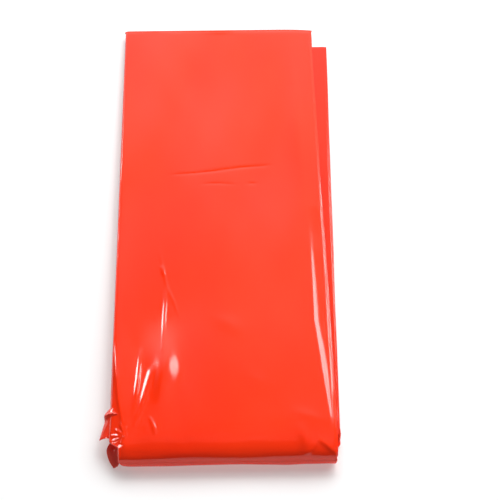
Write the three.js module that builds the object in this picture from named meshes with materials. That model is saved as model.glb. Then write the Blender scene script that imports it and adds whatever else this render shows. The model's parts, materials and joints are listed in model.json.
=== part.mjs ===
// A folded plastic-film bag: a flat pack of thin glossy film, as it comes off the shelf.
//
// One long tube of film is folded lengthwise into panels, which gives a narrow strip.
// The strip is folded in half across its length, and in half again, so four leaves lie
// on each other. From the bottom up they are bottom_leaf, lower_inner_leaf,
// upper_inner_leaf and top_leaf. Two folds are nested at the near end: the outer one
// joins the top leaf to the bottom leaf, and the inner one joins the two inner leaves.
// The far end of the upper pair is a fold too. The far end of the lower pair holds the
// bag's two ends: its open mouth, and its welded bottom.
//
// Units are millimetres. X runs across the pack, +Y along it to the far end, +Z up.
// The origin is at the middle of the pack's footprint, on the surface it lies on.

import * as THREE from 'three';

// The bag, laid flat, and how it is folded.
const BAG_WIDTH = 900;
const BAG_LENGTH = 1800;
const PANELS_ACROSS = 6;
const LEAVES_ALONG = 4;

// A leaf is two pads of three panels, joined by the last lengthwise fold on its left.
const PADS_PER_LEAF = 2;
const PAD_THICKNESS_NEAR = 2.5;
const PAD_THICKNESS_FAR = 0.75;
const LAYER_GAP = 0.3;

// Folds across the pack. The near fold's nose is half an ellipse, longer than it is high.
const NEAR_FOLD_LENGTH = 28;
const FAR_FOLD_LENGTH = 3;
const SIDE_FOLD_WIDTH = 5;
const EDGE_ROUNDING = 1.2;
const PAD_STAGGER = 0.7;

// The two halves of the pack don't lie quite in line with each other.
const LOWER_SHIFT_NEAR = 2;
const LOWER_SHIFT_FAR = 13;
const LOWER_SETBACK = 18;

// On its right, the lower half of the near fold is this much narrower than the leaves.
const NEAR_FOLD_RECESS = 3;

// The heat-sealed strip across the bottom of the bag.
const WELD_WIDTH = 8;

// Loose film at the ends of the near fold. A flap's front is counted from the nose's tip,
// and the tuck's setback from where the leaves begin.
const FLAP_THICKNESS = 0.8;
const FLAP_REACH_UPPER = 7;
const FLAP_FRONT_UPPER = 18;
const FLAP_LENGTH_UPPER = 24;
const FLAP_REACH_LOWER = 4;
const FLAP_FRONT_LOWER = 5;
const FLAP_LENGTH_LOWER = 17;
const TUCK_SETBACK = 3;
const TUCK_LENGTH = 9;

const NOSE_STEPS = 14;
const ROUND_STEPS = 6;

const leafWidth = BAG_WIDTH / PANELS_ACROSS;
const leafLength = BAG_LENGTH / LEAVES_ALONG;
const halfWidth = leafWidth / 2;
const padCount = LEAVES_ALONG * PADS_PER_LEAF;
const lowerPadCount = padCount / 2;

const FILM = { color: 0xfa3c1e, roughness: 0.22, metalness: 0 };
const WELD = { color: 0xe8341a, roughness: 0.4, metalness: 0 };

// Thickness of one pad at a distance y from the near fold's tip.
function padThickness(y) {
  return THREE.MathUtils.lerp(PAD_THICKNESS_NEAR, PAD_THICKNESS_FAR, y / leafLength);
}

// Height of the underside of a pad, counted from the bottom of the pack.
function padBottom(pad, y) {
  return pad * (padThickness(y) + LAYER_GAP);
}

// Height of a run of pads, from the underside of the first to the top of the last.
function runHeight(pads, y) {
  return pads * padThickness(y) + (pads - 1) * LAYER_GAP;
}

// The plane where the upper half of the pack lies on the lower half.
function middle(y) {
  return padBottom(lowerPadCount, y) - LAYER_GAP / 2;
}

// The near fold turns about this line, at the tip of its nose.
const hingeHeight = middle(0);

// Sideways place of the lower half of the pack; the upper half has none.
function sideShift(isLower, y) {
  return isLower ? THREE.MathUtils.lerp(LOWER_SHIFT_NEAR, LOWER_SHIFT_FAR, y / leafLength) : 0;
}

const pack = new THREE.Group();

function addPiece(name, geometry, finish) {
  const mesh = new THREE.Mesh(geometry, new THREE.MeshStandardMaterial(finish));
  mesh.name = name;
  pack.add(mesh);
  return mesh;
}

// Moves every vertex of a geometry to where place() says.
function warp(geometry, place) {
  const position = geometry.attributes.position;
  const point = new THREE.Vector3();
  for (let i = 0; i < position.count; i += 1) {
    point.fromBufferAttribute(position, i);
    place(point);
    position.setXYZ(i, point.x, point.y, point.z);
  }
  geometry.computeVertexNormals();
  return geometry;
}

// A strip of film pads between two distances from the nose. Its section runs across the
// pack, with heights from 0 to 1, and follows the taper of the pads that it spans.
function strip(section, near, far, firstPad, pads, isLower) {
  const geometry = new THREE.ExtrudeGeometry(section, { depth: far - near, bevelEnabled: false });
  return warp(geometry, (point) => {
    const y = far - point.z;
    const z = padBottom(firstPad, y) + point.y * runHeight(pads, y);
    point.set(point.x + sideShift(isLower, y), y, z);
  });
}

// A profile in the Y-Z plane, carried across the pack from its left edge.
function across(profile, width, isLower) {
  const shape = new THREE.Shape(profile.map(([y, z]) => new THREE.Vector2(y, z)));
  const geometry = new THREE.ExtrudeGeometry(shape, { depth: width, bevelEnabled: false });
  return warp(geometry, (point) => {
    const y = point.x;
    point.set(point.z - halfWidth + sideShift(isLower, y), y, point.y);
  });
}

// Section of a pad: square on the left, and half round on the right.
function padSection(left, right) {
  const section = new THREE.Shape();
  section.moveTo(left, 0);
  for (let i = 0; i <= ROUND_STEPS; i += 1) {
    const turn = Math.PI * (i / ROUND_STEPS - 0.5);
    const x = right - EDGE_ROUNDING + EDGE_ROUNDING * Math.cos(turn);
    section.lineTo(x, 0.5 + 0.5 * Math.sin(turn));
  }
  section.lineTo(left, 1);
  section.closePath();
  return section;
}

// Section of the lengthwise fold on the left: half round on its outer side.
function sideFoldSection() {
  const section = new THREE.Shape();
  section.moveTo(SIDE_FOLD_WIDTH - halfWidth, 0);
  section.lineTo(SIDE_FOLD_WIDTH - halfWidth, 1);
  for (let i = 0; i <= ROUND_STEPS; i += 1) {
    const turn = Math.PI * (i / ROUND_STEPS + 0.5);
    const x = EDGE_ROUNDING - halfWidth + EDGE_ROUNDING * Math.cos(turn);
    section.lineTo(x, 0.5 + 0.5 * Math.sin(turn));
  }
  section.closePath();
  return section;
}

// One leaf: two pads, and the side fold that joins them along the left edge.
function addLeaf(name, leaf, far) {
  const isLower = leaf < LEAVES_ALONG / 2;
  const near = NEAR_FOLD_LENGTH + LAYER_GAP;
  const firstPad = leaf * PADS_PER_LEAF;
  const left = SIDE_FOLD_WIDTH + LAYER_GAP - halfWidth;
  ['under', 'over'].forEach((level, i) => {
    const section = padSection(left, halfWidth - i * PAD_STAGGER);
    addPiece(`${name}_${level}`, strip(section, near, far, firstPad + i, 1, isLower), FILM);
  });
  const fold = strip(sideFoldSection(), near, far, firstPad, PADS_PER_LEAF, isLower);
  addPiece(`${name}_side_fold`, fold, FILM);
}

// Quarter of an ellipse from the nose's tip to where the pads begin. `inset` is how far
// the tip lies behind the outermost film, and `end` the height at the pads.
function noseArc(inset, end) {
  const side = Math.sign(end - hingeHeight);
  const centreY = NEAR_FOLD_LENGTH;
  const centreZ = hingeHeight + (side * LAYER_GAP) / 2;
  const reach = NEAR_FOLD_LENGTH - inset;
  const points = [];
  for (let i = 0; i <= NOSE_STEPS; i += 1) {
    const turn = (Math.PI / 2) * (i / NOSE_STEPS);
    points.push([centreY - reach * Math.cos(turn), centreZ + (end - centreZ) * Math.sin(turn)]);
  }
  return points;
}

// Half of the near fold above or below the middle plane, in two nested shells.
function addNearFold(isLower) {
  const level = isLower ? 'lower' : 'upper';
  const side = isLower ? -1 : 1;
  const width = isLower ? leafWidth - NEAR_FOLD_RECESS : leafWidth;
  const y = NEAR_FOLD_LENGTH;
  const leafHeight = runHeight(PADS_PER_LEAF, y);
  const outerEnd = isLower ? 0 : padBottom(padCount, y) - LAYER_GAP;
  const outerInside = outerEnd - side * leafHeight;
  const innerEnd = outerInside - side * LAYER_GAP;
  const middleEnd = middle(y) + (side * LAYER_GAP) / 2;
  const tipInset = LAYER_GAP / 2;
  const shellInset = tipInset + leafHeight;
  const outside = noseArc(tipInset, outerEnd);
  const inside = noseArc(shellInset, outerInside).reverse();
  const core = noseArc(shellInset + LAYER_GAP, innerEnd);
  const shells = [
    ['outer', [...outside, ...inside]],
    ['inner', [...core, [y, middleEnd]]],
  ];
  shells.forEach(([name, profile]) => {
    addPiece(`${name}_near_fold_${level}`, across(profile, width, isLower), FILM);
  });
}

// The fold that joins the two upper leaves at the far end, half an ellipse in profile.
function addFarFold() {
  const y = leafLength - FAR_FOLD_LENGTH;
  const bottom = padBottom(lowerPadCount, y);
  const height = runHeight(padCount - lowerPadCount, y);
  const profile = [];
  for (let i = 0; i <= NOSE_STEPS; i += 1) {
    const turn = Math.PI * (i / NOSE_STEPS - 0.5);
    const reach = FAR_FOLD_LENGTH * Math.cos(turn);
    profile.push([y + reach, bottom + (height / 2) * (1 + Math.sin(turn))]);
  }
  addPiece('far_fold_upper', across(profile, leafWidth, false), FILM);
}

// The sealed strip at the end of the bottom leaf, half as thick as the leaf.
function addWeld() {
  const far = leafLength - LOWER_SETBACK;
  const near = far - WELD_WIDTH;
  const section = padSection(-halfWidth, halfWidth);
  addPiece('bottom_weld', strip(section, near, far, 0, 1, true), WELD);
}

// A pointed plate of loose film. `outline` is seen from above, `floor` its underside.
function addLooseFilm(name, outline, floor) {
  const shape = new THREE.Shape(outline.map(([x, y]) => new THREE.Vector2(x, y)));
  const options = { depth: FLAP_THICKNESS, bevelEnabled: false };
  const mesh = addPiece(name, new THREE.ExtrudeGeometry(shape, options), FILM);
  mesh.position.z = floor;
}

// A flap beside the near fold's left end: square at its front, pointed at its back.
function addFlap(level, reach, front, length, floor) {
  const root = sideShift(level === 'lower', front) - halfWidth - LAYER_GAP;
  const tip = root - reach;
  const back = front + length;
  const outline = [[root, back], [tip, front + length / 2], [tip, front], [root, front]];
  addLooseFilm(`corner_flap_${level}`, outline, floor);
}

// Film gathered in the recess at the near fold's right end. It fills the recess's width.
function addTuck() {
  const back = NEAR_FOLD_LENGTH - TUCK_SETBACK;
  const root = sideShift(true, back) + halfWidth - NEAR_FOLD_RECESS + LAYER_GAP;
  const tip = root + NEAR_FOLD_RECESS - 2 * LAYER_GAP;
  const outline = [[root, back - TUCK_LENGTH], [tip, back], [root, back]];
  addLooseFilm('corner_tuck_right', outline, hingeHeight - LAYER_GAP - FLAP_THICKNESS);
}

const lowerFar = leafLength - LOWER_SETBACK;
const upperFar = leafLength - FAR_FOLD_LENGTH - LAYER_GAP;
addLeaf('bottom_leaf', 0, lowerFar - WELD_WIDTH - LAYER_GAP);
addLeaf('lower_inner_leaf', 1, lowerFar);
addLeaf('upper_inner_leaf', 2, upperFar);
addLeaf('top_leaf', 3, upperFar);
addNearFold(true);
addNearFold(false);
addFarFold();
addWeld();
addFlap('lower', FLAP_REACH_LOWER, FLAP_FRONT_LOWER, FLAP_LENGTH_LOWER, hingeHeight / 2);
addFlap('upper', FLAP_REACH_UPPER, FLAP_FRONT_UPPER, FLAP_LENGTH_UPPER, hingeHeight + LAYER_GAP);
addTuck();

// The origin goes to the middle of the footprint.
const footprint = new THREE.Box3().setFromObject(pack);
const centre = footprint.getCenter(new THREE.Vector3());
pack.position.set(-centre.x, -centre.y, -footprint.min.z);
pack.updateMatrixWorld(true);

export default pack;
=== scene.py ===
"""Looks of a folded plastic-film bag: glossy film leaves, nested folds, creases and loose corners."""

import json
import math

import bmesh
import bpy
import numpy as np
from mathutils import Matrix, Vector


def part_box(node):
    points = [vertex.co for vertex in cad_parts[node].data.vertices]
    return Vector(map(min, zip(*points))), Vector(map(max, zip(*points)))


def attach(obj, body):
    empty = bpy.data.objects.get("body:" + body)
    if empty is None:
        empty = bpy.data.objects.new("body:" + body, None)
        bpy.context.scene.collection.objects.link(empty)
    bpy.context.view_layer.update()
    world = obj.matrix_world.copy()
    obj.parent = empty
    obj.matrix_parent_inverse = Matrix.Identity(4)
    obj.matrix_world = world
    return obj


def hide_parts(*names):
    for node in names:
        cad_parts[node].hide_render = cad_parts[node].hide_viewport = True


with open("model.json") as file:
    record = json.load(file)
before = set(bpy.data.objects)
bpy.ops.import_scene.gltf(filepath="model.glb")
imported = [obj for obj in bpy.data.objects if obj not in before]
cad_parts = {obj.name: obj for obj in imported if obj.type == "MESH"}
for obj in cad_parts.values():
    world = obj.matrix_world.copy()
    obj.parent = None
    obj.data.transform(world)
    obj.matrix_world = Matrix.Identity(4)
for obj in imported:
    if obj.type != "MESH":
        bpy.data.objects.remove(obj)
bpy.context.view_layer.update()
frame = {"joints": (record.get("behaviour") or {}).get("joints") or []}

MM = 0.001
LOWER, UPPER = "lower_half", "upper_half"

# --- Sizes, read from the frame ------------------------------------------------------------
_, nose_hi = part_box("outer_near_fold_upper")
low_nose_lo, low_nose_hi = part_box("outer_near_fold_lower")
fold_lo, fold_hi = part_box("far_fold_upper")
_, low_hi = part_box("lower_inner_leaf_over")
weld_lo, weld_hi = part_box("bottom_weld")
hinge = Vector(frame["joints"][0]["pos_m"])

PADS = 4                                   # pads of folded panels in each half
NOSE_Y = nose_hi.y                         # where the flat leaves turn into the near fold
TIP_Y = hinge.y
NOSE_REACH = NOSE_Y - TIP_Y
UPPER_FAR = fold_hi.y
LOWER_FAR = weld_hi.y
LEFT = fold_lo.x
RIGHT = fold_hi.x
HEIGHT_NEAR = 2 * hinge.z                  # the pack's height, carried on to the hinge line
HEIGHT_FAR = fold_hi.z
FULL_LENGTH = UPPER_FAR - TIP_Y
SHIFT_NEAR = low_nose_lo.x - LEFT
SHIFT_FAR = low_hi.x - RIGHT
SLIT = 0.15 * MM                           # half the gap between the two halves
TIP_GAP = 0.05 * MM                        # each half ends this far before the hinge line
EDGE = 1.2 * MM                            # the faces end this far before the right edge


def height(y):
    """The pack's height at a distance along it."""
    return HEIGHT_NEAR + (HEIGHT_FAR - HEIGHT_NEAR) * (y - TIP_Y) / FULL_LENGTH


def shift(y, lower):
    """How far the lower half is pushed to the right at y."""
    if not lower:
        return 0.0 * y
    return SHIFT_NEAR + (SHIFT_FAR - SHIFT_NEAR) * (y - TIP_Y) / (LOWER_FAR - TIP_Y)


# The lower half of the near fold is this much narrower, on the right, than its leaves.
RECESS = RIGHT + shift(NOSE_Y, True) - low_nose_hi.x


# --- Noise and creases ---------------------------------------------------------------------
SINES = 5                                  # in each octave of the noise


def waves(x, y, seed, size, octaves=3):
    """Smooth seeded noise, about -1 to 1, whose largest bumps are `size` metres across."""
    rng = np.random.default_rng(seed)
    total = np.zeros(np.broadcast(x, y).shape)
    weight = 0.0
    for octave in range(octaves):
        step = size / 2 ** octave
        share = 0.5 ** octave
        for _ in range(SINES):
            angle, phase = rng.uniform(0, 2 * math.pi, 2)
            k = 2 * math.pi / step * rng.uniform(0.6, 1.2)
            total = total + share * np.sin(k * (x * math.cos(angle) + y * math.sin(angle)) + phase)
        weight += share * math.sqrt(SINES / 2)
    return total / weight


def smooth(t):
    """0 below 0 and 1 above 1, with a soft start and end between them."""
    t = np.clip(t, 0, 1)
    return t * t * (3 - 2 * t)


def along(x, y, points):
    """For each place, its distance to a line of points, and how far along the line it is, 0 to 1."""
    points = np.array(points) * MM
    lengths = np.linalg.norm(np.diff(points, axis=0), axis=1)
    total = lengths.sum()
    nearest = np.full(x.shape, np.inf)
    share = np.zeros(x.shape)
    start = 0.0
    for a, b, length in zip(points[:-1], points[1:], lengths):
        d = (b - a) / length
        t = np.clip((x - a[0]) * d[0] + (y - a[1]) * d[1], 0, length)
        px, py = x - a[0] - t * d[0], y - a[1] - t * d[1]
        distance = np.hypot(px, py)
        nearer = distance < nearest
        nearest = np.where(nearer, distance, nearest)
        share = np.where(nearer, (start + t) / total, share)
        start += length
    return nearest, share


BROAD_RIDGE = 3.0                          # millimetres: a ridge at least this wide is broad
NARROW_FADE, BROAD_FADE = 0.6, 2.0         # a higher power fades over more of the length


def ridge(x, y, points, rise, width, sharp=False, swell=0.0):
    """A raised line in the film, its rise and width in millimetres, that fades out at both ends:
    a narrow one late, and a broad one slowly. It is wider near its start where `swell` is above
    0, and near its end where it is below. A sharp one has a crest instead of a round top."""
    distance, share = along(x, y, points)
    fade_power = NARROW_FADE if width < BROAD_RIDGE else BROAD_FADE
    fade = np.sin(math.pi * np.clip(share, 0.005, 0.995)) ** fade_power
    scale = width * MM * (1 + swell * (0.5 - share) * 2)
    t = distance / scale
    bump = np.exp(-t) if sharp else np.exp(-t * t)
    return rise * MM * fade * bump


# Creases of the top film: points in millimetres, rise, width, sharp, swell.
TOP_CREASES = [
    # Lines pressed into the film, across the pack.
    ([(-39, 47), (-22, 48), (-6, 50), (14, 55), (36, 58)], -0.34, 0.9, True, 0.0),
    ([(-17, 35.5), (-4, 36), (8, 35)], -0.22, 0.7, True, 0.0),
    ([(18, 37), (24, 37)], -0.22, 0.7, True, 0.0),
    # A fine crease, and streaks from it to the near left corner.
    ([(-47, -32), (-43, -58), (-41, -72), (-36, -86), (-31, -105)], 0.27, 1.1, False, 0.0),
    ([(-45, -50), (-43, -61)], 0.55, 1.2, False, 0.2),
    ([(-41.4, -72), (-42.5, -104), (-43, -137)], 0.85, 1.4, False, 0.0),
    ([(-58, -132), (-59.5, -162), (-62, -196)], 1.05, 1.7, False, -0.2),
    ([(-50, -150), (-55, -176), (-60.5, -202)], 1.35, 2.4, False, 0.0),
    # A broad swelling beside the streaks, and a small streak on its near end.
    ([(-41, -100), (-41.5, -150), (-44, -206)], 3.9, 8.4, False, 0.15),
    ([(-51, -194), (-48.6, -200), (-46.5, -206)], 0.65, 1.3, False, -0.3),
    # A low fold that leads to the near right corner.
    ([(38, -188), (54, -195), (68, -202)], 0.20, 4.0, False, 0.0),
    # The line where the film bends down on the left.
    ([(-75.2, -140), (-72.2, -178), (-68.1, -203)], 0.55, 1.0, False, 0.0),
    # Low folds in the near half.
    ([(-8, -96), (4, -112), (12, -128)], 0.30, 6.0, False, 0.0),
    ([(10, -150), (22, -166), (26, -180)], 0.26, 5.0, False, 0.0),
    # A low band along the right side of the far half.
    ([(57, 200), (55, 110), (57, 10)], 0.42, 6.5, False, 0.0),
    # Facets at the near right, down over the nose.
    ([(45, -198), (51, -209), (48, -222)], 0.95, 3.6, False, 0.0),
    ([(59, -210), (55, -216), (50, -222)], 0.85, 1.8, False, 0.0),
    ([(58, -209), (65, -214), (71, -221)], 0.85, 1.8, False, 0.0),
    # A low band along the left side of the far half.
    ([(-40, 205), (-38, 130), (-44, 70)], 0.24, 8.0, False, 0.0),
]

# Pleats gathered at the near left corner, all from one place. All in millimetres.
PLEAT_START = (-66.8, -206.5)
PLEAT_RISE, PLEAT_WIDTH = 0.60, 0.70
PLEAT_ENDS = [(-66, -200.5), (-70.5, -198), (-74, -201), (-77, -204), (-77, -208), (-73, -211)]

# Where changes in the waves start, and over how much they come in.
CALM_FROM, CALM_OVER = 50 * MM, 12 * MM    # beside the right shoulder the film is pulled smooth
CALMED = 0.8                               # and loses this share of its waves
NEAR_FROM, NEAR_OVER = -20 * MM, 160 * MM  # more ripples, towards the near end
LEFT_FROM, LEFT_OVER = 10 * MM, 60 * MM    # and towards the left


def top_relief(x, v):
    """How far the top film stands off its leaf: long swells, ripples, more ripples towards the
    near left corner, then the creases and pleats."""
    relief = 0.62 * MM * waves(x, v * 0.45, 3, 0.11, 2)
    relief += 0.10 * MM * waves(x * 1.6, v * 0.35, 5, 0.045, 2)
    relief *= 1 - CALMED * smooth((x - CALM_FROM) / CALM_OVER)
    near = smooth((NEAR_FROM - v) / NEAR_OVER)
    left = smooth((LEFT_FROM - x) / LEFT_OVER)
    relief += near * left * 0.22 * MM * waves(x * 1.4, v * 0.5, 8, 0.035, 2)
    for points, rise, width, sharp, swell in TOP_CREASES:
        relief += ridge(x, v, points, rise, width, sharp, swell)
    for end in PLEAT_ENDS:
        relief += ridge(x, v, [PLEAT_START, end], PLEAT_RISE, PLEAT_WIDTH)
    return relief


# --- Meshes --------------------------------------------------------------------------------
def make_object(name, vertices, faces, sharp_angle=38):
    """An object from points and faces, smooth but for edges sharper than the angle in degrees."""
    mesh = bpy.data.meshes.new(name)
    mesh.from_pydata([tuple(v) for v in vertices], [], faces)
    bm = bmesh.new()
    bm.from_mesh(mesh)
    bmesh.ops.remove_doubles(bm, verts=bm.verts, dist=1e-7)
    bmesh.ops.recalc_face_normals(bm, faces=bm.faces)
    limit = math.radians(sharp_angle)
    for edge in bm.edges:
        edge.smooth = not (len(edge.link_faces) == 2 and edge.calc_face_angle(0) > limit)
    for face in bm.faces:
        face.smooth = True
    bm.to_mesh(mesh)
    bm.free()
    obj = bpy.data.objects.new(name, mesh)
    bpy.context.scene.collection.objects.link(obj)
    return obj


def closed_loft(name, rings, sharp_angle=38):
    """A closed body through a list of rings of equally many points."""
    rings = np.array(rings)
    count, size = rings.shape[:2]
    faces = []
    for i in range(count - 1):
        a, b = i * size, (i + 1) * size
        faces += [(a + j, a + (j + 1) % size, b + (j + 1) % size, b + j) for j in range(size)]
    faces.append(tuple(range(size)))
    faces.append(tuple(range((count - 1) * size, count * size))[::-1])
    return make_object(name, rings.reshape(-1, 3), faces, sharp_angle)


# A row of a leaf is either a distance along the flat part, or an angle round the near fold.
NOSE_STEP = 2.0                            # degrees between rows round the near fold
NOSE_TIP = [87, 88.5, 89.5, 90]            # and closer ones at its tip
FAR_TURNS = (90, 70, 50, 32, 16, 0)        # degrees round the far edge


def leaf_rows(far, spacing, end_round):
    """Rows from the far end to the tip of the near fold: (y, angle, squeeze). The squeeze is the
    share of the leaf's thickness that is left where its far end is rounded."""
    rows = []
    for t in FAR_TURNS:
        turn = math.radians(t)
        rows.append((far - end_round * (1 - math.sin(turn)), 0.0, math.cos(turn)))
    flat = int((far - end_round - NOSE_Y) / spacing)
    for i in range(1, flat + 1):
        rows.append((far - end_round + (NOSE_Y - far + end_round) * i / flat, 0.0, 1.0))
    angles = list(np.arange(NOSE_STEP, NOSE_TIP[0] - 1, NOSE_STEP)) + NOSE_TIP
    rows += [(NOSE_Y, math.radians(a), 1.0) for a in angles]
    return rows


def unrolled(row):
    """Distance along the outer film, counted on from y round the near fold."""
    y, angle, _ = row
    return y - angle * (NOSE_REACH + height(y) / 2) / 2


# The film's long shoulders, at distances along the pack: where the right one runs, how wide its
# turn is, how steep it is there, and how steep the film is past it. Then the left one: how far it
# is from the left edge and how far the film drops. Places and drops are in millimetres.
SHOULDER_AT = ([-206, -173, -140, -107, 230], [70.2, 67.8, 65.3, 62.6, 62.0])
SHOULDER_WIDTH = ([-206, -150, -36, 20, 230], [0.7, 0.8, 0.8, 2.5, 4.0])
SHOULDER_PEAK = ([-206, -190, -90, -20, 10, 230], [0.22, 0.27, 0.25, 0.17, 0.06, 0.03])
SHOULDER_SIDE = ([-206, -60, -20, 20, 230], [0.16, 0.10, 0.09, 0.08, 0.08])
LEFT_BEND_AT = ([-206, -157, -120, 230], [10.0, 4.0, 1.6, 1.6])
LEFT_BEND_DROP = ([-206, -157, -120, 230], [4.6, 2.6, 1.4, 0.8])
LEFT_BEND_RADIUS = 0.9 * MM
DROP_LIMIT = 0.55                          # one shoulder takes at most this share of the height
BOTH_LIMIT = 0.8                           # and the two together at most this


def bend(distance, radius):
    """Rises as the distance where it is above 0, and is 0 below, with a round start."""
    return (np.sqrt(distance * distance + radius * radius) + distance) / 2


def pillow(x, v, lower):
    """Share of the full thickness that is left where the film rolls down to its long edges. The
    right shoulder is a logistic step, which is four times as high as its slope by its width."""
    local = x - shift(v, lower)
    half = height(v) / 2
    at = np.interp(v / MM, *SHOULDER_AT) * MM
    width = np.interp(v / MM, *SHOULDER_WIDTH) * MM
    peak = 4 * width * np.interp(v / MM, *SHOULDER_PEAK)
    side = np.interp(v / MM, *SHOULDER_SIDE)
    turned = 1 / (1 + np.exp((at - local) / width))
    down = peak * turned - side * width * np.log(1 - turned)
    down = down * min(1.0, DROP_LIMIT * half / (peak + side * (RIGHT - at)))
    left_at = LEFT + np.interp(v / MM, *LEFT_BEND_AT) * MM
    drop = min(np.interp(v / MM, *LEFT_BEND_DROP) * MM, DROP_LIMIT * half)
    full_bend = bend(left_at - LEFT, LEFT_BEND_RADIUS)
    down = down + bend(left_at - local, LEFT_BEND_RADIUS) * drop / full_bend
    return 1 - np.clip(down / half, 0, BOTH_LIMIT)


NOSE_FULLNESS = 2.7                        # 2 would make the nose's section a plain ellipse
LEFT_RECESS = 4.0 * MM                     # the near fold draws in this far beside the flaps
CORNER_ROUNDING = 6.0 * MM                 # the lower half this much more, towards the table
# Changes round the near fold, in degrees: where each starts, and over how much it comes in. The
# insets are on the left and the recess on the right, and the wrinkles end before the hinge line.
LOWER_INSET_TURN, UPPER_INSET_TURN = (10, 30), (30, 22)
RECESS_TURN, WRINKLES_END_TURN = (10, 8), (62, 26)
ROUNDED_TO, ROUNDED_OVER = 88, 40          # the corner's rounding fades out up to here


def place(x, q, row, lower, relief=0.0):
    """Points of a half at x, with q from 0 on the middle plane to 1 on its outer film."""
    y, angle, _ = row
    half = height(y) / 2
    middle = half + (hinge.z - half) * math.sin(angle)
    side = -1 if lower else 1
    share = pillow(x, unrolled(row), lower)
    outer = half * q * share + relief
    reach = NOSE_REACH - (1 - q) * half + relief
    sin, cos = math.sin(angle), max(math.cos(angle), 0.0)
    if lower:
        sin, cos = sin ** (2 / NOSE_FULLNESS), cos ** (2 / NOSE_FULLNESS)
    else:
        cos = (1 - min(sin, 1.0) ** NOSE_FULLNESS) ** (1 / NOSE_FULLNESS)
    depth = np.broadcast_to(y - (reach * sin if angle else 0.0), x.shape)
    depth = np.maximum(depth, TIP_Y + TIP_GAP)
    up = middle + side * (outer * cos + SLIT)
    if lower:
        up = np.maximum(up, 0.0)
    return np.stack([x, depth, up], axis=-1)


def come_in(degrees, turn):
    """Share of a change round the near fold that has come in at an angle in degrees."""
    start, over = turn
    return float(smooth((degrees - start) / over))


def left_inset(degrees, lower):
    """How far the near fold draws in at its left end, round the nose, beside the flaps."""
    if lower:
        rounded = CORNER_ROUNDING * float(smooth((ROUNDED_TO - degrees) / ROUNDED_OVER))
        return (LEFT_RECESS + rounded) * come_in(degrees, LOWER_INSET_TURN)
    return (LEFT_RECESS + SHIFT_NEAR) * come_in(degrees, UPPER_INSET_TURN)


def spread(spans):
    """Places across the pack, in millimetres, from spans of (start, end, spacing)."""
    places = [np.arange(start, end - spacing / 2, spacing) for start, end, spacing in spans]
    return np.append(np.concatenate(places), spans[-1][1]) * MM


# Places across the faces of the leaves, in millimetres. The fine ones are closest where the film
# is creased, on the left, and at the right shoulder.
ROLL = 1.3                                 # depth of the roll at a leaf's left edge
FACE_LEFT, FACE_RIGHT = LEFT / MM + ROLL, (RIGHT - EDGE) / MM
CREASED_TO, SHOULDER_FROM = -27, 56
FINE = spread([(FACE_LEFT, CREASED_TO, 0.55), (CREASED_TO, SHOULDER_FROM, 1.1),
               (SHOULDER_FROM, FACE_RIGHT, 0.5)])
MEDIUM = spread([(FACE_LEFT, FACE_RIGHT, 1.6)])
COARSE = spread([(FACE_LEFT, FACE_RIGHT, 9.0)])

PANELS = 3                                 # folded panels in each pad
# A panel's rounded edge: shares of its thickness, and how far each lies back, in millimetres.
LOBE = ((0.04, 0.75), (0.22, 0.2), (0.5, 0.0), (0.78, 0.2), (0.96, 0.75))
SIDE_ROLL = ROLL * MM
SIDE_TURN = np.radians(np.linspace(105, 255, 9))
# Gaps at a leaf's inner faces, beside its slit at the pads' edges, and on each side of the slit's
# middle: all are shares of a half's height.
LEAF_GAP, PAD_GAP, SLIT_GAP = 0.012, 0.014, 0.013
SLIT_MOUTH, SLIT_ROOT = 6 * MM, 12 * MM    # the slit's ends: from the right edge, from the left
WRAP_DEPTH, WRAP_LOW = 4 * MM, 0.02        # the top leaf's far end goes down to the middle plane
SPIKE, SPIKE_DEPTH = 0.9 * MM, 1.4 * MM    # how far the upper half's far corners stick out
# Relief fades out over this much beside the right and left edges, down to a share of itself.
RIGHT_CALM, LEFT_CALM, EDGE_RELIEF = 2.5 * MM, 1.5 * MM, 0.1
# The panels' edges wander by about this much, and by a share of it where they are staggered.
WANDER, WANDER_SIZE, STAGGERED_WANDER = 0.45 * MM, 0.16, 0.3
WANDER_SEED = 40
PANEL_BACK, PANEL_STEP = 0.35, 0.5         # millimetres that their edges lie back, in three steps
STAGGER_PUSH = 5 * MM                      # a stagger is whole where the half is pushed out this far
STAGGER_SHARES = (0.5, 1.6)                # and elsewhere between these shares of itself


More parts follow.
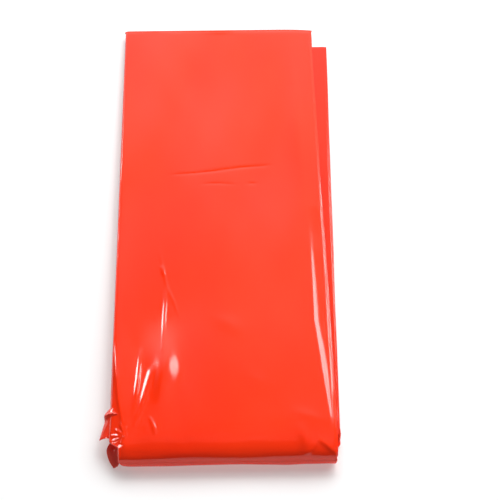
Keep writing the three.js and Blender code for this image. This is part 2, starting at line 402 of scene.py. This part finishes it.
def leaf(name, first_pad, lower, far, spacing, outer_places, inner_places, outer_skin=None,
         inner_skin=None, end_round=0.9 * MM, wraps_far=False, stagger=0.0, seed=0):
    """One leaf: two pads joined by the fold on their left, with a slit between them that is
    open on the right, where the edges of three folded panels show in each pad. With a stagger,
    each panel ends that much before the one outside it."""
    rings = []
    q_low, q_high = first_pad / PADS, (first_pad + 2) / PADS
    for row in leaf_rows(far, spacing, end_round):
        y, angle, squeeze = row
        degrees = math.degrees(angle)
        low = q_low + LEAF_GAP
        if wraps_far and y > far - WRAP_DEPTH:
            low = WRAP_LOW
        high = q_high - (LEAF_GAP if q_high < 1 else 0.0)
        centre = (low + high) / 2
        low, high = centre + (low - centre) * squeeze, centre + (high - centre) * squeeze
        slide = shift(y, lower)
        recess = RECESS * come_in(degrees, RECESS_TURN) if lower else 0.0
        spike = SPIKE * math.exp(-((far - y) / SPIKE_DEPTH) ** 2) if wraps_far else 0.0
        tucked = left_inset(degrees, lower)
        left, right = LEFT - spike + tucked, RIGHT + spike - recess
        v = unrolled(row)
        set_in = stagger * float(np.clip(slide / STAGGER_PUSH, *STAGGER_SHARES))
        joined = 1 - come_in(degrees, WRINKLES_END_TURN)

        def skinned(skin, places):
            if skin is None:
                return np.zeros(len(places))
            edge = smooth((RIGHT - places) / RIGHT_CALM) * smooth((places - LEFT) / LEFT_CALM)
            kept = EDGE_RELIEF + (1 - EDGE_RELIEF) * edge
            return skin(places, np.full(len(places), v)) * kept * joined

        def stretched(places, end):
            return left + (places - LEFT) * (end - left) / (RIGHT - LEFT)

        xs, qs, reliefs = [], [], []

        def add(x, q, relief=None):
            xs.append(np.atleast_1d(x))
            qs.append(np.broadcast_to(q, xs[-1].shape))
            reliefs.append(np.zeros(len(xs[-1])) if relief is None else relief)

        add(stretched(outer_places[::-1], right), high, skinned(outer_skin, outer_places[::-1]))
        rolled = left + SIDE_ROLL + SIDE_ROLL * np.cos(SIDE_TURN)
        add(rolled, centre + (high - centre) * np.sin(SIDE_TURN))
        inner_end = right - (2 * PANELS - 1) * set_in
        inner_relief = skinned(inner_skin, inner_places) * math.cos(angle)
        add(stretched(inner_places, inner_end), low, inner_relief)
        for pad in range(2):
            a = low + (high - low) * pad / 2 + (PAD_GAP * squeeze if pad else 0)
            b = low + (high - low) * (pad + 1) / 2 - (0 if pad else PAD_GAP * squeeze)
            for panel in range(PANELS):
                code = seed + 10 * pad + panel
                wave = waves(np.array(v), np.array(0.0), WANDER_SEED + code, WANDER_SIZE, 2)
                out = WANDER * float(wave)
                if stagger:
                    out = STAGGERED_WANDER * out - (2 * PANELS - 1 - panel - PANELS * pad) * set_in
                else:
                    out -= (PANEL_BACK + PANEL_STEP * ((code * 7) % 3)) * MM
                base = a + (b - a) * panel / PANELS
                step = (b - a) / PANELS
                for share, inset in LOBE:
                    add(right + out - inset * MM, base + step * share)
            if pad == 0:
                split = (low + high) / 2
                gap = SLIT_GAP * squeeze
                mouth, root = right - SLIT_MOUTH, left + SLIT_ROOT
                add(np.array([mouth, root]), split - gap)
                add(np.array([root, mouth]), split + gap)
        x, q, relief = (np.concatenate(part) for part in (xs, qs, reliefs))
        rings.append(place(x + slide, q, row, lower, relief))
    return closed_loft(name, rings)


def smooth_line(points, count):
    """Points along a smooth line through listed points, given in millimetres."""
    points = np.array(points, float) * MM
    ends = np.vstack([2 * points[0] - points[1], points, 2 * points[-1] - points[-2]])
    result = []
    for s in np.linspace(0, len(points) - 1, count):
        i = min(int(s), len(points) - 2)
        t = s - i
        a, b, c, d = ends[i:i + 4]
        result.append(0.5 * (2 * b + (c - a) * t + (2 * a - 5 * b + 4 * c - d) * t * t
                             + (3 * b - a - 3 * c + d) * t ** 3))
    return np.array(result)


RIM_WIDTH, TIP_WIDTH = 0.07, 0.04          # shares of a patch over which the thick edge thins out
RIM_ROUND, TIP_ROUND = 0.03, 0.02          # and over which its edges are rounded off
ROUNDED_LEAST = 0.15                       # squared share of the thickness left at the very edge


def film_patch(name, outer_line, inner_line, relief, rows=48, columns=22, ply=0.16, rim=0.24):
    """A scrap of loose film between two lines. Its folded outer edge is thicker than the rest.
    Ply and rim are half thicknesses in millimetres."""
    outer, inner = smooth_line(outer_line, rows), smooth_line(inner_line, rows)
    t = np.linspace(0, 1, columns)[None, :, None]
    grid = outer[:, None] * (1 - t) + inner[:, None] * t
    s = np.linspace(0, 1, rows)[:, None]
    t = t[..., 0]
    grid[..., 2] += relief(s, t) * MM
    across, down = np.gradient(grid, axis=1), np.gradient(grid, axis=0)
    normal = np.cross(across, down)
    normal /= np.linalg.norm(normal, axis=2, keepdims=True)
    edge = np.exp(-t / RIM_WIDTH) + np.exp(-(1 - s) / TIP_WIDTH)
    half = (ply + rim * np.minimum(edge, 1.0)) * MM
    half = half * np.sqrt(np.clip(t / RIM_ROUND, ROUNDED_LEAST, 1))
    half = half * np.sqrt(np.clip((1 - s) / TIP_ROUND, ROUNDED_LEAST, 1))
    offset = normal * half[..., None]
    rings = np.concatenate([grid + offset, (grid - offset)[:, ::-1]], axis=1)
    return closed_loft(name, rings, 60)


# --- Materials -----------------------------------------------------------------------------
IOR = 1.5                                  # of polythene
SMOOTHEST, ROUGHEST = 0.08, 0.19
DEEP, PALE = (0.97, 0.82, 0.80), (1.0, 1.12, 1.15)    # factors on the base colour
BUMP_STRENGTH, BUMP_DISTANCE = 0.10, 0.0006
DRAW_LINE_SHARE = 0.25                     # height of the draw lines, against 1 for the wrinkles


def film_material(name, base, haze=0.0):
    """Glossy blown film: saturated colour, long draw lines, fine wrinkles, faint smears."""
    material = bpy.data.materials.new(name)
    material.use_nodes = True
    nodes, links = material.node_tree.nodes, material.node_tree.links
    shader = nodes["Principled BSDF"]
    shader.inputs["IOR"].default_value = IOR
    shader.inputs["Specular IOR Level"].default_value = 0.5
    coords = nodes.new("ShaderNodeTexCoord")

    def noise(scale, detail, stretch):
        """Noise in the piece's own space: scale per metre, detail, and a factor on each axis."""
        mapping = nodes.new("ShaderNodeMapping")
        mapping.inputs["Scale"].default_value = stretch
        links.new(coords.outputs["Object"], mapping.inputs["Vector"])
        node = nodes.new("ShaderNodeTexNoise")
        node.inputs["Scale"].default_value = scale
        node.inputs["Detail"].default_value = detail
        links.new(mapping.outputs["Vector"], node.inputs["Vector"])
        return node.outputs["Fac"]

    ramp = nodes.new("ShaderNodeValToRGB")
    ramp.color_ramp.elements[0].position = 0.3
    ramp.color_ramp.elements[1].position = 0.72
    for stop, factors in zip(ramp.color_ramp.elements, (DEEP, PALE)):
        stop.color = (*(value * factor for value, factor in zip(base, factors)), 1)
    links.new(noise(14, 3, (1, 0.5, 1)), ramp.inputs["Fac"])
    links.new(ramp.outputs["Color"], shader.inputs["Base Color"])

    rough = nodes.new("ShaderNodeMapRange")
    rough.inputs["To Min"].default_value = SMOOTHEST + haze
    rough.inputs["To Max"].default_value = ROUGHEST + haze
    links.new(noise(38, 4, (1, 0.25, 1)), rough.inputs["Value"])
    links.new(rough.outputs["Result"], shader.inputs["Roughness"])

    mix = nodes.new("ShaderNodeMath")
    mix.operation = "MULTIPLY_ADD"
    mix.inputs[1].default_value = DRAW_LINE_SHARE
    links.new(noise(600, 2, (1, 0.03, 1)), mix.inputs[0])
    links.new(noise(120, 3, (1, 0.3, 1)), mix.inputs[2])
    bump = nodes.new("ShaderNodeBump")
    bump.inputs["Strength"].default_value = BUMP_STRENGTH
    bump.inputs["Distance"].default_value = BUMP_DISTANCE
    links.new(mix.outputs["Value"], bump.inputs["Height"])
    links.new(bump.outputs["Normal"], shader.inputs["Normal"])
    return material


# The second, darker film is a painted shade: it darkens the lower half's right strip and the right
# corner tuck, the shaded right side of the pack. The third, paler and pinker film is painted light: it
# lightens the lower corner flap, which lies in the pack's shadow, as light coming through a single ply
# would.
film = film_material("film", (0.95, 0.0315, 0.0022))
painted_shade_film = film_material("painted_shade_film", (0.72, 0.0235, 0.0022))
painted_light_film = film_material("painted_light_film", (0.98, 0.11, 0.075))
loose_film = film_material("loose_film", (0.93, 0.042, 0.016))
weld_finish = film_material("weld", (0.78, 0.020, 0.004), haze=0.18)


def finish_piece(obj, material, slot, body, *nodes):
    """Gives a piece its material and body, and hides the nodes that it replaces. The slot is not used.
    """
    obj.data.materials.clear()
    obj.data.materials.append(material)
    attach(obj, body)
    if nodes:
        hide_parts(*nodes)
    return obj


# --- The leaves ----------------------------------------------------------------------------
# A groove and a bead: how far from their edge, width, and depth or height. The wrinkles and the
# bead come in over a length from the far edge.
GROOVE_AT, GROOVE_WIDTH, GROOVE_DEPTH = 2.4 * MM, 0.7 * MM, 0.30 * MM
BEAD_AT, BEAD_WIDTH, BEAD_HEIGHT = 2.1 * MM, 0.6 * MM, 0.24 * MM
WRINKLES_OVER, BEAD_OVER = 7 * MM, 20 * MM


def top_skin(x, v):
    """Relief of the top film, with a groove behind the rolled far edge and a bead along the
    right edge, where the film turns down round the panels."""
    groove = np.exp(-((UPPER_FAR - GROOVE_AT - v) / GROOVE_WIDTH) ** 2)
    bead = np.exp(-((RIGHT - BEAD_AT - x) / BEAD_WIDTH) ** 2) * smooth((UPPER_FAR - v) / BEAD_OVER)
    relief = top_relief(x, v) * smooth((UPPER_FAR - v) / WRINKLES_OVER)
    return relief - GROOVE_DEPTH * groove + BEAD_HEIGHT * bead


def bottom_skin(x, v):
    """The outer film of the lower half: flat on the table, with soft wrinkles round the near
    fold, and facets on the right of it."""
    nose = smooth((NOSE_Y - v) / (8 * MM))
    right = smooth((x - 0.015) / 0.04)
    facets = np.abs(waves(x, v * 1.6, 21, 0.055, 2)) * 0.9 * MM
    return nose * (0.25 * MM * waves(x, v * 2, 22, 0.06, 2) + right * facets)


def inner_skin(x, v):
    """Shallow wrinkles of the two faces that meet on the middle plane. They only sink in."""
    broad = 0.5 + 0.5 * np.tanh(waves(x, v * 0.4, 31, 0.07, 3))
    cross = np.exp(-np.abs(waves(x * 0.3, v, 33, 0.16, 1)) / 0.05)
    return (0.45 * broad + 0.18 * cross) * MM


SLOT_SHARE = 0.22                          # the slot's depth, as a share of the half's height
LIP_HEIGHT = 0.45 * MM
# Past the upper half's edge: the slot's middle and half width, and where the lip rises and falls
# and over how much.
SLOT_AT, SLOT_HALF = 0.2 * MM, 0.6 * MM
LIP_RISE_AT, LIP_RISE = 0.7 * MM, 0.4 * MM
LIP_FALL_AT, LIP_FALL = 1.3 * MM, 0.6 * MM
WRINKLES_STOP = 3 * MM                     # the wrinkles fade out over this much before that edge


def strip_skin(x, v):
    """The face of the lower half that meets the upper half. Just past the upper half's edge it
    has a slot, and beyond the slot a rounded lip stands up."""
    past = x + shift(v, True) - RIGHT
    slot = np.exp(-((past - SLOT_AT) / SLOT_HALF) ** 4)
    lip = smooth((past - LIP_RISE_AT) / LIP_RISE) * (1 - smooth((past - LIP_FALL_AT) / LIP_FALL))
    wrinkles = inner_skin(x, v) * smooth(-past / WRINKLES_STOP)
    return wrinkles + SLOT_SHARE * height(v) / 2 * slot - LIP_HEIGHT * lip


STRIP = spread([(FACE_LEFT, SHOULDER_FROM, 2.0), (SHOULDER_FROM, FACE_RIGHT, 0.25)])

top_leaf = leaf("top_leaf_film", 2, False, UPPER_FAR, 1.0 * MM, FINE, COARSE, outer_skin=top_skin,
                end_round=1.6 * MM, wraps_far=True, seed=1)
upper_inner = leaf("upper_inner_leaf_film", 0, False, UPPER_FAR - 4.6 * MM, 2.0 * MM, COARSE, MEDIUM,
                   inner_skin=inner_skin, seed=2)
lower_inner = leaf("lower_inner_leaf_film", 0, True, low_hi.y, 2.0 * MM, COARSE, STRIP,
                   inner_skin=strip_skin, stagger=0.22 * MM, seed=3)
bottom_leaf = leaf("bottom_leaf_film", 2, True, weld_lo.y - 0.3 * MM, 2.0 * MM, MEDIUM, COARSE,
                   outer_skin=bottom_skin, seed=4)

finish_piece(top_leaf, film, "film", UPPER, "top_leaf_under", "top_leaf_over", "top_leaf_side_fold",
             "outer_near_fold_upper", "far_fold_upper")
finish_piece(upper_inner, film, "film", UPPER, "upper_inner_leaf_under", "upper_inner_leaf_over",
             "upper_inner_leaf_side_fold", "inner_near_fold_upper")
# The lower inner leaf gets the darker film: a painted shade on its right strip.
finish_piece(lower_inner, painted_shade_film, "film", LOWER, "lower_inner_leaf_under", "lower_inner_leaf_over",
             "lower_inner_leaf_side_fold", "inner_near_fold_lower")
finish_piece(bottom_leaf, film, "film", LOWER, "bottom_leaf_under", "bottom_leaf_over",
             "bottom_leaf_side_fold", "outer_near_fold_lower")


# --- Loose film at the corners -------------------------------------------------------------
# Reliefs are in millimetres. s runs along a patch, and t from its outer line to its inner line.
def upper_flap_relief(s, t):
    """A sharp fold across the flap, and a soft roll behind it."""
    fold = 1.7 * np.exp(-np.abs(s - 0.34 - 0.08 * t) / 0.06)
    crown = 2.2 * np.sin(math.pi * t) ** 0.8
    return crown + fold + 0.5 * np.sin(7 * s + 2 * t) * (1 - s) ** 2


def lower_flap_relief(s, t):
    """Lengthwise pleats that run out at the flap's point."""
    return 0.45 * np.sin(9 * t + 1.5 * s) * (1 - 0.6 * s) + 0.15 * np.sin(17 * s)


def tuck_relief(s, t):
    """Tight crumples."""
    coarse = np.sin(17 * s + 7 * t) * np.cos(14 * t - 6 * s)
    return 0.8 * coarse + 0.35 * np.sin(33 * s + 23 * t)


upper_flap = film_patch(
    "corner_flap_upper_film",
    [(-77.9, -181.5, 14.2), (-81.2, -186.5, 13.4), (-81.0, -191, 12.6), (-82, -196, 12.2),
     (-84.2, -206.3, 11.6)],
    [(-71.5, -180.5, 17.4), (-71, -187, 18.4), (-71, -193, 18.0), (-72, -200, 16.6),
     (-74, -207.6, 13.6)],
    upper_flap_relief)
finish_piece(upper_flap, loose_film, "film", UPPER, "corner_flap_upper")

lower_flap = film_patch(
    "corner_flap_lower_film",
    [(-76, -202.5, 7.6), (-79, -207.5, 6.2), (-79.4, -211.5, 4.6), (-77.5, -217, 2.3),
     (-74.9, -221.2, 1.2)],
    [(-68.6, -202.5, 9.4), (-68.6, -207, 9.0), (-68.6, -211, 8.2), (-68.8, -215.5, 6.2),
     (-72.2, -220.6, 2.4)],
    lower_flap_relief)
# The lower flap gets the paler film: painted light on a flap that lies in the pack's shadow.
finish_piece(lower_flap, painted_light_film, "film", LOWER, "corner_flap_lower")

tuck = film_patch(
    "corner_tuck_film",
    [(75.1, -197.6, 9.6), (75.3, -201.5, 8.6), (74.4, -205.5, 7.8), (72.8, -209, 7.8)],
    [(64.8, -197.6, 10), (65, -202, 9.6), (65, -205.5, 8.8), (65, -209.2, 8.2)],
    tuck_relief, rows=40, columns=18)
# The tuck gets the darker film: a painted shade at the right corner.
finish_piece(tuck, painted_shade_film, "film", LOWER, "corner_tuck_right")


# --- Lining of the near fold, and the weld -------------------------------------------------
LINING_IN = 0.6 * MM                       # its ends lie in from the fold's ends
LINING_BACK = 13 * MM                      # it covers this much of the fold, back from the tip
LINING_HALF = 0.03 * MM                    # half its thickness
LINING_OFF = 0.08 * MM                     # its middle stands off the middle plane this much


def lining(name, lower):
    """Film that closes the inside of the near fold. It is seen when the pack is open."""
    side = -1 if lower else 1
    rings = []
    for y in np.linspace(TIP_Y + LINING_BACK, TIP_Y + TIP_GAP, 20):
        slide = shift(y, lower)
        recess = RECESS if lower else 0.0
        tucked = left_inset(90, lower)
        x = np.linspace(LEFT + tucked + LINING_IN, RIGHT - recess - LINING_IN, 90) + slide
        z = hinge.z + side * LINING_OFF + np.zeros(len(x))
        top = np.stack([x, np.full(len(x), y), z + LINING_HALF], axis=-1)
        under = np.stack([x, np.full(len(x), y), z - LINING_HALF], axis=-1)
        rings.append(np.concatenate([top, under[::-1]]))
    piece = closed_loft(name, rings)
    finish_piece(piece, film, "film", LOWER if lower else UPPER)


lining("near_fold_lining_upper", False)
lining("near_fold_lining_lower", True)


WELD_ROWS, WELD_COLUMNS = 44, 120
SEAL_LINES, SEAL_WIDTH = (0.28, 0.5, 0.72), 0.05    # shares of the strip's width
FLAT_HALF, LINE_HALF = 0.26, 0.16          # half thicknesses, as shares of the strip's height


def add_weld():
    """The heat-sealed strip: film pressed flat, with three raised lines along the seal."""
    rings = []
    thickness = weld_hi.z - weld_lo.z
    for i in range(WELD_ROWS):
        share = i / (WELD_ROWS - 1)
        y = weld_lo.y + (weld_hi.y - weld_lo.y) * share
        x = np.linspace(LEFT, RIGHT, WELD_COLUMNS) + shift(y, True)
        lines = sum(math.exp(-((share - at) / SEAL_WIDTH) ** 2) for at in SEAL_LINES)
        taper = math.sqrt(max(math.sin(math.pi * share), 0.08))
        ripple = 0.10 * MM * waves(x, np.full(len(x), y), 51, 0.03, 2)
        half = thickness * (FLAT_HALF + LINE_HALF * lines) * taper
        middle = thickness / 2 + ripple
        top = np.stack([x, np.full(len(x), y), middle + half], axis=-1)
        under = np.stack([x, np.full(len(x), y), np.maximum(middle - half, 0)], axis=-1)
        rings.append(np.concatenate([top, under[::-1]]))
    weld = closed_loft("bottom_weld_film", rings)
    finish_piece(weld, weld_finish, "weld", LOWER, "bottom_weld")
    return weld


weld_strip = add_weld()

# --- Floor, lights and camera --------------------------------------------------------------
FLOOR_SIZE = 6.0
FLOOR_Z = -0.0003                          # just under the pack, so that the two never coincide
FLOOR_ALBEDO, FLOOR_GLOW = 0.62, 0.32
NEAR_SIDE_GREY, ABOVE_GREY, BEYOND_GREY = 0.10, 0.05, 1.22
ABOVE_AT, BEYOND_AT = 0.66, 0.86           # where the room turns from one grey to the next
BACKDROP_GREY = 0.93


def add_floor():
    """A pale matt table that glows a little, as white paper in bright light does."""
    material = bpy.data.materials.new("white_table")
    material.use_nodes = True
    shader = material.node_tree.nodes["Principled BSDF"]
    shader.inputs["Base Color"].default_value = (FLOOR_ALBEDO, FLOOR_ALBEDO, FLOOR_ALBEDO, 1)
    shader.inputs["Roughness"].default_value = 0.8
    shader.inputs["Specular IOR Level"].default_value = 0.1
    shader.inputs["Emission Color"].default_value = (1, 1, 1, 1)
    shader.inputs["Emission Strength"].default_value = FLOOR_GLOW
    bpy.ops.mesh.primitive_plane_add(size=FLOOR_SIZE, location=(0, 0, FLOOR_Z))
    floor = bpy.context.object
    floor.name = "floor"
    floor.data.materials.append(material)


def add_softbox(name, azimuth, elevation, distance, size, power, glossy=True, diffuse=True):
    """A rectangular soft light that faces the pack. Azimuth 0 is beyond the far end, and 90 on
    the right. Distance and size are in metres, and power in watts."""
    data = bpy.data.lights.new(name, "AREA")
    data.shape = "RECTANGLE"
    data.size, data.size_y = size
    data.energy = power
    light = bpy.data.objects.new(name, data)
    a, e = math.radians(azimuth), math.radians(elevation)
    offset = Vector((math.cos(e) * math.sin(a), math.cos(e) * math.cos(a), math.sin(e)))
    light.location = distance * offset
    light.rotation_euler = offset.to_track_quat("Z", "Y").to_euler()
    light.visible_glossy = glossy
    light.visible_diffuse = diffuse
    bpy.context.scene.collection.objects.link(light)


def add_world():
    """A room that is bright beyond the far end and dim above and on the near side. The camera
    sees a plain pale backdrop in its place."""
    world = bpy.data.worlds.new("studio")
    world.use_nodes = True
    nodes, links = world.node_tree.nodes, world.node_tree.links
    room = nodes["Background"]
    coords = nodes.new("ShaderNodeTexCoord")
    split = nodes.new("ShaderNodeSeparateXYZ")
    links.new(coords.outputs["Generated"], split.inputs["Vector"])
    ramp = nodes.new("ShaderNodeValToRGB")
    ramp.color_ramp.interpolation = "EASE"
    stops = ramp.color_ramp.elements
    stops[0].position, stops[0].color = 0.0, (NEAR_SIDE_GREY, NEAR_SIDE_GREY, NEAR_SIDE_GREY, 1)
    stops[1].position, stops[1].color = ABOVE_AT, (ABOVE_GREY, ABOVE_GREY, ABOVE_GREY, 1)
    stops.new(BEYOND_AT).color = (BEYOND_GREY, BEYOND_GREY, BEYOND_GREY, 1)
    links.new(split.outputs["Y"], ramp.inputs["Fac"])
    links.new(ramp.outputs["Color"], room.inputs["Color"])
    backdrop = nodes.new("ShaderNodeBackground")
    backdrop.inputs["Color"].default_value = (BACKDROP_GREY, BACKDROP_GREY, BACKDROP_GREY, 1)
    path = nodes.new("ShaderNodeLightPath")
    mix = nodes.new("ShaderNodeMixShader")
    links.new(path.outputs["Is Camera Ray"], mix.inputs["Fac"])
    links.new(room.outputs["Background"], mix.inputs[1])
    links.new(backdrop.outputs["Background"], mix.inputs[2])
    links.new(mix.outputs["Shader"], nodes["World Output"].inputs["Surface"])
    bpy.context.scene.world = world


def add_lights():
    """A wide light overhead and a wide key on the right light the pack and give the shadow. The
    small boxes are only reflected, in the shoulders, edges and swellings of the film."""
    add_world()
    add_softbox("overhead", 8, 63, 1.6, (1.2, 1.2), 22, glossy=False)
    add_softbox("key", 72, 56, 1.6, (1.4, 1.4), 20, glossy=False)
    add_softbox("shoulder_box", 34, 36, 1.5, (0.26, 0.30), 2.3, diffuse=False)
    add_softbox("edge_box", 46, 9, 1.3, (0.26, 0.18), 2.4, diffuse=False)
    add_softbox("left_box", -42, 21, 1.4, (0.26, 0.40), 5.0, diffuse=False)
    add_softbox("corner_box", -78, 52, 1.5, (0.22, 0.22), 2.6, diffuse=False)


# The camera looks along the pack from beyond its near end: metres, then degrees down and degrees
# to the right of the pack's length, then millimetres.
CAMERA_PLACE = (-0.00062, -1.06394, 1.04960)
CAMERA_DOWN, CAMERA_TURN = 45.13, 1.05
CAMERA_LENS, SENSOR_WIDTH = 146.44, 36


def add_camera():
    data = bpy.data.cameras.new("camera")
    data.sensor_width = SENSOR_WIDTH
    data.lens = CAMERA_LENS
    data.clip_start, data.clip_end = 0.05, 50
    camera = bpy.data.objects.new("camera", data)
    camera.location = CAMERA_PLACE
    camera.rotation_euler = (math.radians(90 - CAMERA_DOWN), 0, math.radians(-CAMERA_TURN))
    bpy.context.scene.collection.objects.link(camera)
    bpy.context.scene.camera = camera


add_floor()
add_lights()
add_camera()
bpy.context.scene.view_settings.view_transform = "Standard"
